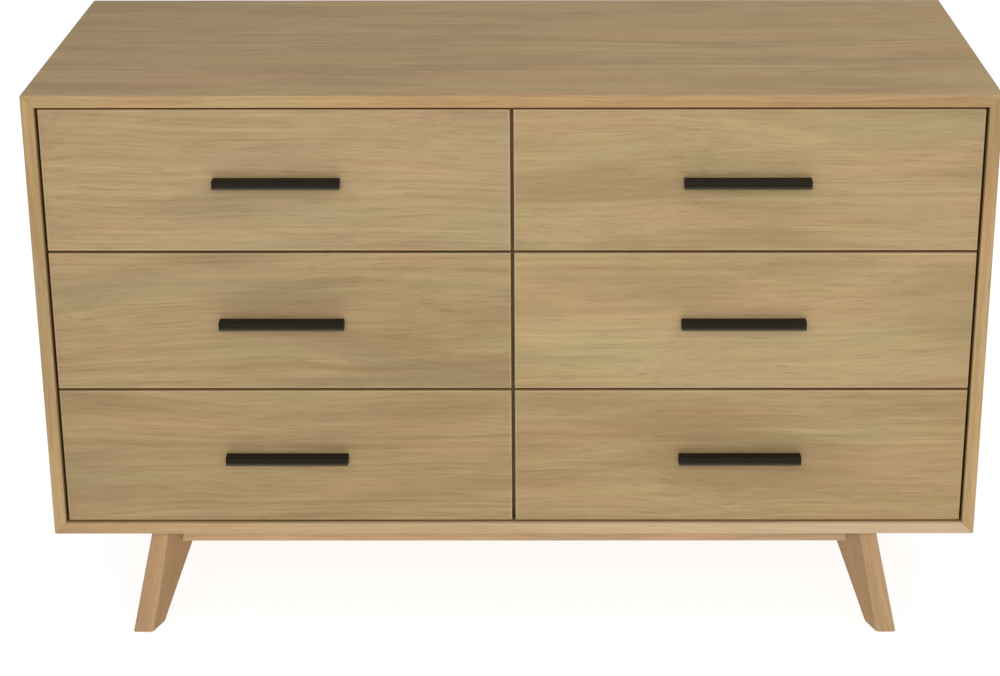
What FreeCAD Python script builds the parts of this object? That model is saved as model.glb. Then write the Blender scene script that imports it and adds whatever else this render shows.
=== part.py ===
"""Double dresser: a mitred case on four splayed legs, with two columns of three drawers.

Millimetres, +Z up. The origin is on the floor under the middle of the whole dresser, pulls
included, and the front faces -Y.
"""
import FreeCAD, Part
import math
import os
import re
import Sketcher

# Driving dimensions of the case, the base, the drawers and the hardware
SIZES = {
    "case_width": 1220,
    "case_depth": 508,
    "case_height": 603,
    "panel_thickness": 16,
    "divider_thickness": 16,
    "lipping_depth": 6,
    "outer_edge_radius": 1.5,
    "inner_edge_radius": 1,
    "back_thickness": 6,
    "back_lap": 8,
    "strap_hole_spacing": 406.4,
    "strap_hole_radius": 1.5,
    "strap_hole_depth": 25,
    "rail_thickness": 16,
    "cross_rail_depth": 60,
    "front_clearance": 2,
    "leg_height": 149,
    "leg_top_inset": 128,
    "leg_top_setback": 12,
    "leg_top_front": 22,
    "leg_top_back": 60,
    "leg_top_depth": 48,
    "foot_inset": 95,
    "foot_setback": 2,
    "foot_front": 27,
    "foot_back": 38,
    "foot_depth": 30,
    "glide_thickness": 2,
    "glide_radius": 10,
    "leg_bolt_radius": 4,
    "leg_bolt_reach": 38,
    "leg_bolt_head_radius": 8,
    "leg_bolt_head_height": 4.5,
    "leg_bolt_inset": 9,
    "leg_bolt_spacing": 17,
    "leg_bolt_setback": 26,
    "base_rail_height": 27,
    "base_rail_setback": 34,
    "side_rail_inset": 5,
    "front_thickness": 16,
    "front_recess": 5,
    "reveal": 3.5,
    "bottom_gap": 2,
    "centre_gap": 4.5,
    "front_edge_radius": 1.2,
    "box_wall": 12,
    "box_height": 144,
    "box_depth": 470,
    "box_lift": 12,
    "box_edge_radius": 2,
    "bottom_thickness": 6,
    "bottom_lift": 12,
    "groove_depth": 6,
    "groove_clearance": 0.5,
    "pull_length": 160,
    "pull_depth": 16,
    "pull_lip": 11,
    "pull_back": 14,
    "pull_thickness": 2,
    "pull_rise": 4,
    "pull_bend_radius": 3,
    "pull_edge_radius": 0.4,
    "pull_screw_spacing": 128,
    "front_screw_inset": 50,
    "front_screw_lift": 32,
    "front_screw_reach": 10,
    "drawer_screw_radius": 2,
    "drawer_screw_head_radius": 4,
    "drawer_screw_head_height": 2.4,
    "slide_length": 450,
    "slide_thickness": 12.7,
    "slide_setback": 18,
    "slide_height": 45.6,
    "slide_metal": 1.2,
    "slide_running_gap": 0.3,
    "slide_overlap": 6,
    "slide_web_gap": 1.8,
    "slide_screw_radius": 1.7,
    "slide_screw_head_radius": 3.4,
    "slide_screw_head_height": 1.4,
    "slide_screw_reach": 8,
    "hole_clearance": 0.1,
    "hole_overrun": 0.5,
}

# Where the screws of a slide stand, as shares of its length
SLIDE_SCREW_SHARES = (0.08, 0.46, 0.9)

# Places worked out from the driving dimensions
CASE_LEFT = "(-case_width/2)"
CASE_MIDDLE = "((pull_depth - front_recess)/2)"
CASE_FRONT = f"({CASE_MIDDLE} - case_depth/2)"
CASE_REAR = f"({CASE_MIDDLE} + case_depth/2)"
CASE_BOTTOM = "(leg_height + glide_thickness)"
CASE_TOP = f"({CASE_BOTTOM} + case_height)"
INNER_WIDTH = "(case_width - 2*panel_thickness)"
INNER_HEIGHT = "(case_height - 2*panel_thickness)"
PANEL_DEPTH = "(case_depth - lipping_depth)"
BAY_WIDTH = f"(({INNER_WIDTH} - divider_thickness)/2)"
BAY_LEFT = {"left": f"({CASE_LEFT} + panel_thickness)", "right": "(divider_thickness/2)"}
FRONT_WIDTH = f"(({INNER_WIDTH} - 2*reveal - centre_gap)/2)"
FRONT_HEIGHT = f"(({INNER_HEIGHT} - 3*reveal - bottom_gap)/3)"
FRONT_LEFT = {"left": f"({CASE_LEFT} + panel_thickness + reveal)", "right": "(centre_gap/2)"}
FRONT_FACE = f"({CASE_FRONT} + front_recess)"
BOX_FRONT = f"({FRONT_FACE} + front_thickness)"
BOX_WIDTH = f"({BAY_WIDTH} - 2*slide_thickness)"
BOX_INNER_WIDTH = f"({BOX_WIDTH} - 2*box_wall)"
CARCASS_FRONT = f"({BOX_FRONT} + front_clearance)"
BACK_FACE = f"({CASE_REAR} - back_thickness)"
BAY_RIGHT = {column: f"({edge} + {BAY_WIDTH})" for column, edge in BAY_LEFT.items()}

# Height and reach of the three members of a slide, nested with a running gap
OUTER_HEIGHT = "slide_height"
MIDDLE_HEIGHT = f"({OUTER_HEIGHT} - 2*slide_metal - 2*slide_running_gap)"
INNER_SLIDE_HEIGHT = f"({MIDDLE_HEIGHT} - 2*slide_metal - 2*slide_running_gap)"
OUTER_REACH = "(slide_thickness - 2*slide_metal)"
MIDDLE_OFFSET = "(slide_metal + slide_web_gap)"
MIDDLE_REACH = f"({OUTER_REACH} - {MIDDLE_OFFSET})"
INNER_REACH = "(slide_metal + slide_overlap)"

ROWS = ("bottom", "middle", "top")
COLUMNS = ("left", "right")
HANDS = {"left": -1, "right": 1}
ACROSS_WIDTH = (1, 0, 0)
ACROSS_DEPTH = (0, 1, 0)
LEFTWARDS = (-1, 0, 0)
RIGHTWARDS = (1, 0, 0)
FORWARDS = (0, -1, 0)
DOWNWARDS = (0, 0, -1)

# Two places closer than this are the same place
SAME_PLACE = 1e-4

doc = FreeCAD.newDocument("double_dresser")
sheet = doc.addObject("Spreadsheet::Sheet", "Sizes")
for line, (alias, size) in enumerate(SIZES.items(), start=1):
    sheet.set(f"A{line}", alias)
    sheet.set(f"B{line}", str(size))
    sheet.setAlias(f"B{line}", alias)
doc.recompute()

nodes = []


def in_sheet(formula):
    """Point each size named in a formula at its cell."""
    return re.sub(r"[a-z_]+", lambda word: "Sizes." + word.group(), formula)


def bind(item, **formulas):
    """Tie properties of an object to formulas in the named sizes."""
    for name, formula in formulas.items():
        item.setExpression(name, in_sheet(formula))


def place(item, x="0", y="0", z="0"):
    """Put an object's own origin at a point given in the named sizes."""
    for axis, formula in zip("xyz", (x, y, z)):
        item.setExpression(f"Placement.Base.{axis}", in_sheet(formula))


def as_node(item, label):
    """Name a finished sub-part and list it for writing."""
    item.Label = label
    nodes.append(item)
    return item


def box(name, size, corner):
    """A rectangular block from its size and its lowest corner."""
    block = doc.addObject("Part::Box", name)
    bind(block, Length=size[0], Width=size[1], Height=size[2])
    place(block, *corner)
    return block


def cylinder(name, radius, length, start, direction):
    """A round bar or drill that runs from a point along a direction."""
    bar = doc.addObject("Part::Cylinder", name)
    bar.Placement.Rotation = FreeCAD.Rotation(FreeCAD.Vector(0, 0, 1), FreeCAD.Vector(*direction))
    bind(bar, Radius=radius, Height=length)
    place(bar, *start)
    return bar


def group(name, pieces):
    """Several separate solids kept as one object."""
    together = doc.addObject("Part::Compound", name)
    together.Links = pieces
    return together


def cut(name, base, tools):
    """A piece with holes or recesses taken out of it."""
    result = doc.addObject("Part::Cut", name)
    result.Base = base
    result.Tool = group(name + "_tools", tools)
    return result


def common(name, base, limit):
    """The part of a piece that lies inside a limiting shape."""
    result = doc.addObject("Part::Common", name)
    result.Base = base
    result.Tool = limit
    return result


def mirrored(name, source, across):
    """The same piece on the other side of the case's middle."""
    twin = doc.addObject("Part::Mirroring", name)
    twin.Source = source
    twin.Normal = FreeCAD.Vector(*across)
    twin.setExpression("Base.y", in_sheet(CASE_MIDDLE))
    return twin


def screw(name, seat, direction, head, shank, reach):
    """A screw whose head sits on a surface, and the clearance hole that it stands in."""
    back = [-part for part in direction]
    whole = doc.addObject("Part::Fuse", name)
    whole.Base = cylinder(name + "_head", head[0], head[1], seat, back)
    whole.Tool = cylinder(name + "_shank", shank, reach, seat, direction)
    hole_radius = f"{shank} + hole_clearance"
    hole = cylinder(name + "_hole", hole_radius, f"{reach} + hole_overrun", seat, direction)
    return whole, hole


def body(name, x="0", y="0", z="0"):
    """An empty body at its place."""
    part = doc.addObject("PartDesign::Body", name)
    place(part, x, y, z)
    return part


def outline(part, plane, points, lift="0"):
    """A closed outline of straight lines whose corners are tied to the named sizes."""
    sketch = part.newObject("Sketcher::SketchObject", part.Name + "_outline")
    support = [item for item in part.Origin.OriginFeatures if item.Role == plane]
    sketch.AttachmentSupport = [(support[0], "")]
    sketch.MapMode = "FlatFace"
    sketch.setExpression("AttachmentOffset.Base.z", in_sheet(lift))
    count = len(points)
    turns = [2 * math.pi * corner / count for corner in range(count)]
    starts = [FreeCAD.Vector(math.cos(turn), math.sin(turn), 0) for turn in turns]
    for corner in range(count):
        sketch.addGeometry(Part.LineSegment(starts[corner], starts[(corner + 1) % count]))
    for corner in range(count):
        sketch.addConstraint(Sketcher.Constraint("Coincident", corner, 2, (corner + 1) % count, 1))
    kinds = ("DistanceX", "DistanceY")
    axes = (-2, -1)
    for corner, point in enumerate(points):
        for kind, axis, start, formula in zip(kinds, axes, starts[corner], point):
            if formula == "0":
                sketch.addConstraint(Sketcher.Constraint("PointOnObject", corner, 1, axis))
                continue
            index = sketch.addConstraint(Sketcher.Constraint(kind, -1, 1, corner, 1, start))
            sketch.setExpression(f"Constraints[{index}]", in_sheet(formula))
    return sketch


def pad(part, plane, points, length):
    """Solid material over an outline, towards +X, +Y or +Z."""
    feature = part.newObject("PartDesign::Pad", part.Name + "_pad")
    feature.Profile = outline(part, plane, points)
    feature.Reversed = plane == "XZ_Plane"
    bind(feature, Length=length)
    return feature


def lies_on(edge, whole, side):
    """Whether an edge's box lies flat on one side of the whole shape's box, such as -y."""
    axis = side[1].upper()
    level = getattr(whole, axis + ("Min" if side[0] == "-" else "Max"))
    return all(math.isclose(getattr(edge, axis + end), level, abs_tol=SAME_PLACE) for end in ("Min", "Max"))


def round_edges(part, base, radius, wanted):
    """Round the edges whose box passes a test against the whole shape's box."""
    doc.recompute()
    whole = base.Shape.BoundBox
    edges = enumerate(base.Shape.Edges, start=1)
    feature = part.newObject("PartDesign::Fillet", part.Name + "_rounding")
    feature.Base = (base, [f"Edge{number}" for number, edge in edges if wanted(edge.BoundBox, whole)])
    bind(feature, Radius=radius)
    return feature


def on_sides(*places):
    """A test for edges that lie on all the sides named in one of the places, such as -y+z."""
    def wanted(edge, whole):
        return any(all(lies_on(edge, whole, sides[at:at + 2]) for at in range(0, len(sides), 2))
                   for sides in places)
    return wanted


def rectangle(width, height):
    """Corners of a rectangle from the outline's own origin."""
    return [("0", "0"), (width, "0"), (width, height), ("0", height)]


def flipped(points, width):
    """An outline turned over from left to right within a width."""
    swaps = {"0": width, width: "0"}
    return [(swaps.get(across, f"{width} - ({across})"), up) for across, up in points]


# The case: four panels with mitred corners, each with a solid lipping at its front edge

def mitred(length):
    """Cross-section of a panel with mitred ends, its outer side on top."""
    inner_end = f"{length} - panel_thickness"
    return [("0", "panel_thickness"), (length, "panel_thickness"), (inner_end, "0"),
            ("panel_thickness", "0")]


def upright_mitred():
    """Cross-section of the left side panel, its outer side to the left."""
    return [(up_face, along) for along, up_face in flat_upright()]


def flat_upright():
    """The side panel's outline as it lies on its outer side."""
    inner_end = "case_height - panel_thickness"
    return [("0", "0"), ("case_height", "0"), (inner_end, "panel_thickness"),
            ("panel_thickness", "panel_thickness")]


def turned_over(points, height):
    """An outline turned upside down within a height."""
    swaps = {"0": height, height: "0"}
    return [(across, swaps[up]) for across, up in points]


# Cross-section, left end, lower end and inner front edge of each panel
PANELS = {
    "top": (mitred("case_width"), CASE_LEFT, f"{CASE_TOP} - panel_thickness", "-y-z"),
    "bottom": (turned_over(mitred("case_width"), "panel_thickness"), CASE_LEFT, CASE_BOTTOM, "-y+z"),
    "left": (upright_mitred(), CASE_LEFT, CASE_BOTTOM, "-y+x"),
    "right": (flipped(upright_mitred(), "panel_thickness"), "case_width/2 - panel_thickness",
              CASE_BOTTOM, "-y-x"),
}


def case_envelope():
    """The outside of the closed case, with its outer edges eased."""
    part = body("case_envelope", CASE_LEFT, CASE_FRONT, CASE_BOTTOM)
    whole = pad(part, "XY_Plane", rectangle("case_width", "case_depth"), "case_height")
    round_edges(part, whole, "outer_edge_radius", lambda edge, whole_box: True)
    return part


def case_panel(name, envelope, back, holes):
    """One panel: a mitred board, eased at the case's corners, rabbeted for the back and drilled."""
    points, x, z, _ = PANELS[name]
    part = body(name + "_board", x, f"{CASE_FRONT} + lipping_depth", z)
    pad(part, "XZ_Plane", points, PANEL_DEPTH)
    eased = common(name + "_eased", part, envelope)
    return cut(name + "_finished", eased, [back] + holes)


def lipping_strip(name, envelope):
    """The solid strip along the front edge of one panel."""
    points, x, z, inner_arris = PANELS[name]
    part = body(name + "_lipping_strip", x, CASE_FRONT, z)
    strip = pad(part, "XZ_Plane", points, "lipping_depth")
    round_edges(part, strip, "inner_edge_radius", on_sides(inner_arris))
    return common(name + "_lipping_eased", part, envelope)


def back_panel():
    """The back, which lies in rabbets all round."""
    width = f"{INNER_WIDTH} + 2*back_lap"
    height = f"{INNER_HEIGHT} + 2*back_lap"
    corner = (f"{CASE_LEFT} + panel_thickness - back_lap", BACK_FACE,
              f"{CASE_BOTTOM} + panel_thickness - back_lap")
    return box("back_board", (width, "back_thickness", height), corner)


def strap_holes():
    """Two pilot holes in the rear edge of the top for the strap that ties the dresser to a wall."""
    level = f"{CASE_TOP} - (panel_thickness - back_lap)/2"
    start = ("strap_hole_spacing/2", CASE_REAR, level)
    right = cylinder("strap_hole_right", "strap_hole_radius", "strap_hole_depth", start, FORWARDS)
    return [right, mirrored("strap_hole_left", right, ACROSS_WIDTH)]


def centre_divider(holes):
    """The upright between the two columns, behind the drawer fronts."""
    depth = f"{BACK_FACE} - {CARCASS_FRONT}"
    corner = ("-divider_thickness/2", CARCASS_FRONT, f"{CASE_BOTTOM} + panel_thickness")
    board = box("divider_board", ("divider_thickness", depth, INNER_HEIGHT), corner)
    return cut("divider_finished", board, holes)


def front_bottom(row):
    """Height of the lower edge of a row's drawer fronts."""
    steps = ROWS.index(row)
    return f"({CASE_BOTTOM} + panel_thickness + bottom_gap + {steps}*({FRONT_HEIGHT} + reveal))"


def cross_rails():
    """Flat rails behind the gaps between the rows, from each side to the divider."""
    rails = []
    for row in ROWS[1:]:
        level = f"{front_bottom(row)} - reveal/2 - rail_thickness/2"
        for column in COLUMNS:
            size = (BAY_WIDTH, "cross_rail_depth", "rail_thickness")
            corner = (BAY_LEFT[column], CARCASS_FRONT, level)
            rails.append(box(f"cross_rail_{row}_{column}", size, corner))
    return rails


# The base: four splayed legs, the rails between them, and what fastens and carries them

def leg_blank():
    """The front left leg: a tapered block between two outlines, wider at the back than at the front."""
    part = body("leg_blank", CASE_LEFT, CASE_FRONT, "glide_thickness")
    top = [("leg_top_inset", "leg_top_setback"),
           ("leg_top_inset + leg_top_front", "leg_top_setback"),
           ("leg_top_inset + leg_top_back", "leg_top_setback + leg_top_depth"),
           ("leg_top_inset", "leg_top_setback + leg_top_depth")]
    foot = [("foot_inset", "foot_setback"),
            ("foot_inset + foot_front", "foot_setback"),
            ("foot_inset + foot_back", "foot_setback + foot_depth"),
            ("foot_inset", "foot_setback + foot_depth")]
    loft = part.newObject("PartDesign::AdditiveLoft", "leg_taper")
    loft.Profile = outline(part, "XY_Plane", foot)
    loft.Sections = [outline(part, "XY_Plane", top, "leg_height")]
    loft.Ruled = True
    return part


def leg_bolts():
    """The two bolts that hold the front left leg, let down through the bottom panel."""
    bolts = []
    holes = []
    for number in range(2):
        seat = (f"{CASE_LEFT} + leg_top_inset + leg_bolt_inset + {number}*leg_bolt_spacing",
                f"{CASE_FRONT} + leg_top_setback + leg_bolt_setback",
                f"{CASE_BOTTOM} + panel_thickness")
        head = ("leg_bolt_head_radius", "leg_bolt_head_height")
        reach = "panel_thickness + leg_bolt_reach"
        bolt, hole = screw(f"leg_bolt_{number}", seat, DOWNWARDS, head, "leg_bolt_radius", reach)
        bolts.append(bolt)
        holes.append(hole)
    return bolts, holes


def foot_glide():
    """The glide under the front left foot, flat on the floor."""
    x = f"{CASE_LEFT} + foot_inset + (foot_front + foot_back)/4"
    y = f"{CASE_FRONT} + foot_setback + foot_depth/2"
    seat = (x, y, "glide_thickness")
    return cylinder("foot_glide_front_left", "glide_radius", "glide_thickness", seat, DOWNWARDS)


def to_four_corners(name, piece):
    """A piece of the front left corner and its twins at the other three."""
    right = mirrored(name + "_front_right", piece, ACROSS_WIDTH)
    rear = mirrored(name + "_rear_left", piece, ACROSS_DEPTH)
    rear_right = mirrored(name + "_rear_right", right, ACROSS_DEPTH)
    return [piece, right, rear, rear_right]


def base_rails(blanks):
    """Rails round the base, coped to the legs, and one from front to back in the middle."""
    front_left, front_right, rear_left, _ = blanks
    level = f"{CASE_BOTTOM} - base_rail_height"
    start = "leg_top_inset + leg_top_front/2"
    length = f"case_width - 2*({start})"
    corner = (f"{CASE_LEFT} + {start}", f"{CASE_FRONT} + base_rail_setback", level)
    front_bar = box("front_rail_bar", (length, "rail_thickness", "base_rail_height"), corner)
    front = cut("front_rail_coped", front_bar, [front_left, front_right])
    rear = mirrored("rear_rail", front, ACROSS_DEPTH)
    side_start = "leg_top_setback + leg_top_depth/2"
    side_corner = (f"{CASE_LEFT} + leg_top_inset + side_rail_inset", f"{CASE_FRONT} + {side_start}", level)
    side_size = ("rail_thickness", f"case_depth - 2*({side_start})", "base_rail_height")
    left = cut("left_rail_coped", box("left_rail_bar", side_size, side_corner), [front_left, rear_left])
    right = mirrored("right_rail", left, ACROSS_WIDTH)
    inner = "base_rail_setback + rail_thickness"
    middle = box("middle_rail", ("rail_thickness", f"case_depth - 2*({inner})", "base_rail_height"),
                 ("-rail_thickness/2", f"{CASE_FRONT} + {inner}", level))
    return front, [rear, left, right, middle]


# The drawers: each front carries a box on two telescopic slides and a folded metal pull

def grooved(height):
    """Cross-section of a drawer board with the groove that holds the drawer's bottom."""
    groove_top = "bottom_lift + bottom_thickness"
    groove_floor = "box_wall - groove_depth"
    return [("0", "0"), ("box_wall", "0"), ("box_wall", "bottom_lift"), (groove_floor, "bottom_lift"),
            (groove_floor, groove_top), ("box_wall", groove_top), ("box_wall", height), ("0", height)]


def channel(reach, height):
    """Cross-section of a rolled channel: an upright web with a flange at its top and bottom."""
    inner_top = f"{height} - slide_metal"
    return [("0", "0"), (reach, "0"), (reach, "slide_metal"), ("slide_metal", "slide_metal"),
            ("slide_metal", inner_top), (reach, inner_top), (reach, height), ("0", height)]


def box_bottom(row):
    """Height of the lower edge of a row's drawer boxes."""
    return f"({front_bottom(row)} + box_lift)"


def box_left(column):
    """Outer left side of a column's drawer boxes."""
    return f"({BAY_LEFT[column]} + slide_thickness)"


def slide_member(name, row, column, hand, offset, reach, height, faces_drawer):
    """One rolled member of a slide, at a distance from the case's side."""
    x = f"{BAY_LEFT[column]} + {offset}"
    if hand == "right":
        x = f"{BAY_RIGHT[column]} - {offset} - {reach}"
    level = f"{box_bottom(row)} + box_height/2 - {height}/2"
    part = body(f"{name}_{row}_{column}_{hand}", x, f"{BOX_FRONT} + slide_setback", level)
    points = channel(reach, height)
    if (hand == "right") == faces_drawer:
        points = flipped(points, reach)
    pad(part, "XZ_Plane", points, "slide_length")
    return part


def slide_screws(name, row, column, hand, into_case):
    """Screws through one slide member's web, into the case or into the drawer box."""
    web = "slide_metal" if into_case else "(slide_thickness - slide_metal)"
    x = f"{BAY_LEFT[column]} + {web}"
    direction = LEFTWARDS if into_case else RIGHTWARDS
    if hand == "right":
        x = f"{BAY_RIGHT[column]} - {web}"
        direction = RIGHTWARDS if into_case else LEFTWARDS
    screws = []
    holes = []
    for number, share in enumerate(SLIDE_SCREW_SHARES):
        y = f"{BOX_FRONT} + slide_setback + {share}*slide_length"
        seat = (x, y, f"{box_bottom(row)} + box_height/2")
        head = ("slide_screw_head_radius", "slide_screw_head_height")
        item, hole = screw(f"{name}_{row}_{column}_{hand}_{number}", seat, direction, head,
                           "slide_screw_radius", "slide_metal + slide_screw_reach")
        screws.append(item)
        holes.append(hole)
    return screws, holes


def drawer_front(row, column, holes):
    """The inset front, eased round its face."""
    part = body(f"front_{row}_{column}", FRONT_LEFT[column], FRONT_FACE, front_bottom(row))
    board = pad(part, "XZ_Plane", rectangle(FRONT_WIDTH, FRONT_HEIGHT), "front_thickness")
    round_edges(part, board, "front_edge_radius", on_sides("-y"))
    return cut(f"front_{row}_{column}_drilled", part, holes)


def drawer_box(row, column, end_holes, side_holes):
    """Two sides, an inner front and a back; the bottom lies in a groove."""
    low = box_bottom(row)
    left = box_left(column)
    boards = []
    for hand in HANDS:
        x = left if hand == "left" else f"{left} + {BOX_WIDTH} - box_wall"
        side = body(f"box_side_{row}_{column}_{hand}", x, BOX_FRONT, low)
        points = grooved("box_height")
        if hand == "right":
            points = flipped(points, "box_wall")
        board = pad(side, "XZ_Plane", points, "box_depth")
        round_edges(side, board, "box_edge_radius", on_sides("+z-x", "+z+x"))
        boards.append(cut(f"box_side_{row}_{column}_{hand}_drilled", side, side_holes[hand]))
    end = body(f"box_front_{row}_{column}", f"{left} + box_wall", BOX_FRONT, low)
    pad(end, "YZ_Plane", grooved("box_height"), BOX_INNER_WIDTH)
    boards.append(cut(f"box_front_{row}_{column}_drilled", end, end_holes))
    above_bottom = "bottom_lift + bottom_thickness"
    corner = (f"{left} + box_wall", f"{BOX_FRONT} + box_depth - box_wall", f"{low} + {above_bottom}")
    size = (BOX_INNER_WIDTH, "box_wall", f"box_height - ({above_bottom})")
    boards.append(box(f"box_back_{row}_{column}", size, corner))
    return boards


def drawer_bottom(row, column):
    """The thin bottom, held in grooves in the sides and the inner front."""
    in_groove = "(groove_depth - groove_clearance)"
    corner = (f"{box_left(column)} + box_wall - {in_groove}", f"{BOX_FRONT} + box_wall - {in_groove}",
              f"{box_bottom(row)} + bottom_lift")
    size = (f"{BOX_INNER_WIDTH} + 2*{in_groove}", f"box_depth - box_wall + {in_groove}", "bottom_thickness")
    return box(f"bottom_{row}_{column}", size, corner)


def pull_top(row):
    """Height of the pull's flat top, a little above the middle of the drawer front."""
    return f"({front_bottom(row)} + {FRONT_HEIGHT}/2 + pull_rise)"


def pull_middle(column):
    """Middle of the pull and of the drawer front, from side to side."""
    return f"({FRONT_LEFT[column]} + {FRONT_WIDTH}/2)"


def pull(row, column, holes):
    """A folded strip: a flange on the drawer front, a flat top and a lip for the fingers."""
    part = body(f"pull_{row}_{column}", f"{pull_middle(column)} - pull_length/2",
                f"{FRONT_FACE} - pull_depth", f"{pull_top(row)} - pull_back")
    underside = "pull_back - pull_thickness"
    flange = "pull_depth - pull_thickness"
    points = [("0", "pull_back - pull_lip"), ("0", "pull_back"), ("pull_depth", "pull_back"),
              ("pull_depth", "0"), (flange, "0"), (flange, underside),
              ("pull_thickness", underside), ("pull_thickness", "pull_back - pull_lip")]
    strip = pad(part, "YZ_Plane", points, "pull_length")
    bend = round_edges(part, strip, "pull_bend_radius", on_sides("-y+z"))
    round_edges(part, bend, "pull_edge_radius", on_sides("-x", "+x"))
    return cut(f"pull_{row}_{column}_drilled", part, holes)


def front_fixings(row, column):
    """The pull's two screws and the four that hold the front, all from inside the drawer box."""
    y = f"{BOX_FRONT} + box_wall"
    head = ("drawer_screw_head_radius", "drawer_screw_head_height")
    screws = []
    pull_holes = []
    front_holes = []
    for hand, side in HANDS.items():
        x = f"{pull_middle(column)} + {side}*pull_screw_spacing/2"
        seat = (x, y, f"{pull_top(row)} - pull_back/2")
        item, hole = screw(f"pull_screw_{row}_{column}_{hand}", seat, FORWARDS, head,
                           "drawer_screw_radius", "box_wall + front_thickness + pull_thickness")
        screws.append(item)
        pull_holes.append(hole)
        box_end = f"{box_left(column)} + {BOX_WIDTH}/2 + {side}*({BOX_WIDTH}/2 - front_screw_inset)"
        for level, lift in (("low", "front_screw_lift"), ("high", "box_height - front_screw_lift")):
            seat = (box_end, y, f"{box_bottom(row)} + {lift}")
            item, hole = screw(f"front_screw_{row}_{column}_{hand}_{level}", seat, FORWARDS, head,
                               "drawer_screw_radius", "box_wall + front_screw_reach")
            screws.append(item)
            front_holes.append(hole)
    return screws, pull_holes, front_holes


def drawer(row, column):
    """One whole drawer with its slides; what stays with the case is given back."""
    name = f"drawer_{row}_{column}"
    screws, pull_holes, front_holes = front_fixings(row, column)
    outer_members = []
    middle_members = []
    inner_members = []
    case_screws = []
    case_holes = {}
    side_holes = {}
    for hand in HANDS:
        in_case, case_holes[hand] = slide_screws("case_screw", row, column, hand, True)
        in_box, side_holes[hand] = slide_screws("box_screw", row, column, hand, False)
        case_screws += in_case
        screws += in_box
        outer = slide_member("slide_outer", row, column, hand, "0", OUTER_REACH, OUTER_HEIGHT, True)
        middle = slide_member("slide_middle", row, column, hand, MIDDLE_OFFSET, MIDDLE_REACH,
                              MIDDLE_HEIGHT, True)
        inner = slide_member("slide_inner", row, column, hand, f"(slide_thickness - {INNER_REACH})",
                             INNER_REACH, INNER_SLIDE_HEIGHT, False)
        outer_members.append(cut(f"{outer.Name}_drilled", outer, case_holes[hand]))
        middle_members.append(middle)
        inner_members.append(cut(f"{inner.Name}_drilled", inner, side_holes[hand]))
    as_node(drawer_front(row, column, pull_holes + front_holes), f"{name}_front")
    boards = drawer_box(row, column, pull_holes + front_holes, side_holes)
    as_node(group(f"{name}_boards", boards), f"{name}_box")
    as_node(drawer_bottom(row, column), f"{name}_bottom")
    as_node(pull(row, column, pull_holes), f"{name}_pull")
    as_node(group(f"{name}_fixings", screws), f"{name}_screws")
    as_node(group(f"{name}_inner_members", inner_members), f"{name}_slide_inner")
    as_node(group(f"{name}_middle_members", middle_members), f"{name}_slide_middle")
    return outer_members, case_screws, case_holes


outer_members = []
case_screws = []
wall_holes = {"left": [], "divider": [], "right": []}
WALL_BESIDE = {("left", "left"): "left", ("left", "right"): "divider",
               ("right", "left"): "divider", ("right", "right"): "right"}
for row in ROWS:
    for column in COLUMNS:
        members, screws, holes = drawer(row, column)
        outer_members += members
        case_screws += screws
        for hand in HANDS:
            wall_holes[WALL_BESIDE[column, hand]] += holes[hand]

leg_bolt_pair, leg_hole_pair = leg_bolts()
blank = leg_blank()
blanks = to_four_corners("leg_blank", blank)
all_bolts = []
bolt_holes = []
for number, (bolt, hole) in enumerate(zip(leg_bolt_pair, leg_hole_pair)):
    all_bolts += to_four_corners(f"bolt_{number}", bolt)
    bolt_holes += to_four_corners(f"bolt_hole_{number}", hole)
legs = to_four_corners("leg", cut("leg_front_left_drilled", blank, leg_hole_pair))
for leg, corner in zip(legs, ("front_left", "front_right", "rear_left", "rear_right")):
    as_node(leg, f"leg_{corner}")
front_rail, other_rails = base_rails(blanks)
as_node(front_rail, "base_rail_front")
as_node(group("other_rails", other_rails), "base_rails")
as_node(group("all_leg_bolts", all_bolts), "leg_bolts")
as_node(group("all_glides", to_four_corners("glide", foot_glide())), "foot_glides")

envelope = case_envelope()
back = back_panel()
as_node(case_panel("top", envelope, back, strap_holes()), "top_panel")
as_node(case_panel("bottom", envelope, back, bolt_holes), "bottom_panel")
as_node(case_panel("left", envelope, back, wall_holes["left"]), "side_panel_left")
as_node(case_panel("right", envelope, back, wall_holes["right"]), "side_panel_right")
as_node(group("lipping_strips", [lipping_strip(name, envelope) for name in PANELS]), "front_lipping")
as_node(centre_divider(wall_holes["divider"]), "centre_divider")
as_node(back, "back_panel")
as_node(group("all_cross_rails", cross_rails()), "cross_rails")
as_node(group("all_outer_members", outer_members), "slide_outer_members")
as_node(group("all_slide_screws", case_screws), "slide_screws")

doc.recompute()
for item in doc.Objects:
    if "Invalid" in item.State or "Error" in item.State:
        raise RuntimeError(f"{item.Label} did not build: {item.State}")
for item in nodes:
    if item.Shape.isNull() or not item.Shape.isValid() or not item.Shape.Solids:
        raise RuntimeError(f"{item.Label} has no sound shape")

os.makedirs("parts", exist_ok=True)
for item in nodes:
    item.Shape.exportStep(f"parts/{item.Label}.step")
    print(item.Label, len(item.Shape.Solids), "solids,", round(item.Shape.Volume / 1000, 1), "cm3")
print(len(nodes), "nodes")
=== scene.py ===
"""Double dresser: the looks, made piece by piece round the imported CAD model.

Metres, +Z up, with the front towards -Y. The script follows the dresser as it is put together:
the case and its lipping, what stands inside it, the base, and then each drawer from its front
to its slides. The screws come last, as they do in the workshop.
"""
import math

import bmesh
import bpy
from mathutils import Matrix, Vector


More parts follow.
